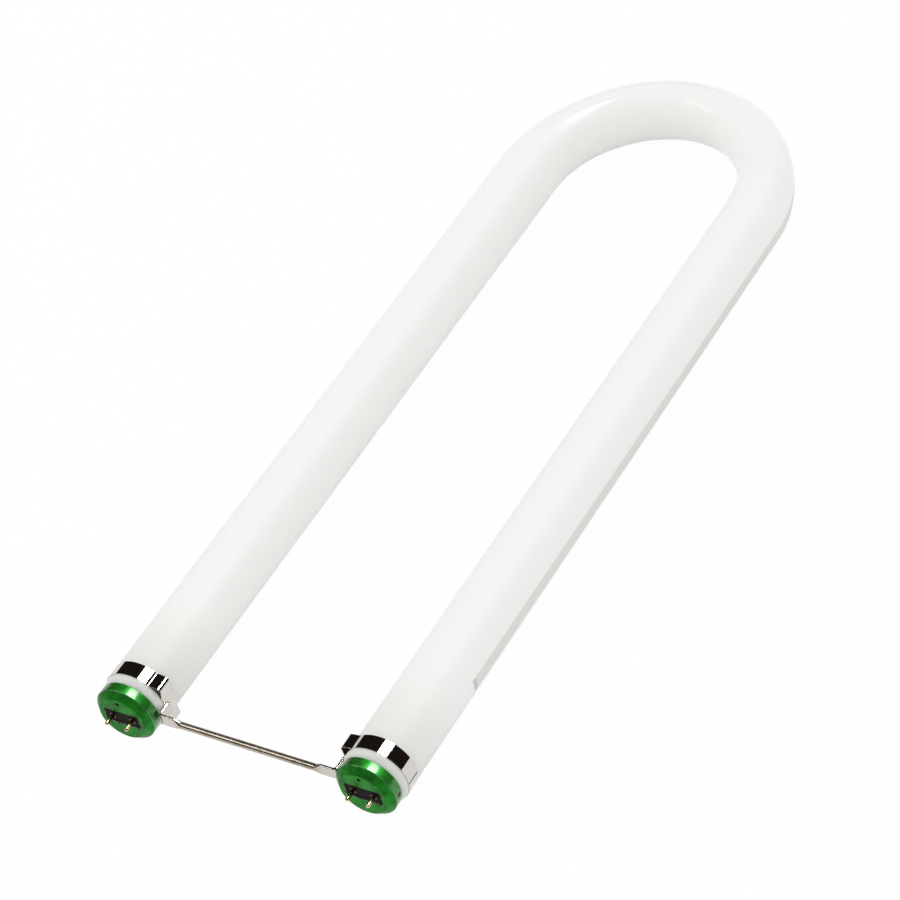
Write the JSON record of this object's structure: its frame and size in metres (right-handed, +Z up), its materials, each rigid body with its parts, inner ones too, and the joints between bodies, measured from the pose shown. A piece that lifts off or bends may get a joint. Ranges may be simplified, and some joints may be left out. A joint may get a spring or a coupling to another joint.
{
  "type": "u-shaped fluorescent bulb",
  "caption": "U-shaped fluorescent tube with green metal end caps, brass contact pins, bright clip bands and a brace rod between its legs.",
  "frame": {"origin": "on the resting plane, under the middle of the bulb's box", "axes": "+X across the legs, +Y from the caps to the bend, +Z up as it lies flat"},
  "size_m": [0.1916, 0.5782, 0.0392],
  "materials": {
    "coated_glass": "clear glass over a white coat, opaque",
    "green_aluminium": "green lacquer over pressed aluminium",
    "black_phenolic": "satin moulded phenolic",
    "brass": "drawn brass",
    "bright_plating": "bright plated steel strip",
    "plated_steel": "nickel plated drawn wire",
    "brown_cement": "cured basing cement",
    "lead_wire": "drawn wire"
  },
  "bodies": {
    "root": {"glass_envelope": "coated_glass", "brace_rod": "plated_steel", "left_end_cap": "green_aluminium", "left_cement": "brown_cement", "left_insulator": "black_phenolic", "left_clip_band": "bright_plating", "left_pin_inner": "brass", "left_lead_wire_inner": "lead_wire", "left_pin_outer": "brass", "left_lead_wire_outer": "lead_wire", "right_end_cap": "green_aluminium", "right_cement": "brown_cement", "right_insulator": "black_phenolic", "right_clip_band": "bright_plating", "right_pin_inner": "brass", "right_lead_wire_inner": "lead_wire", "right_pin_outer": "brass", "right_lead_wire_outer": "lead_wire"}
  },
  "joints": []
}
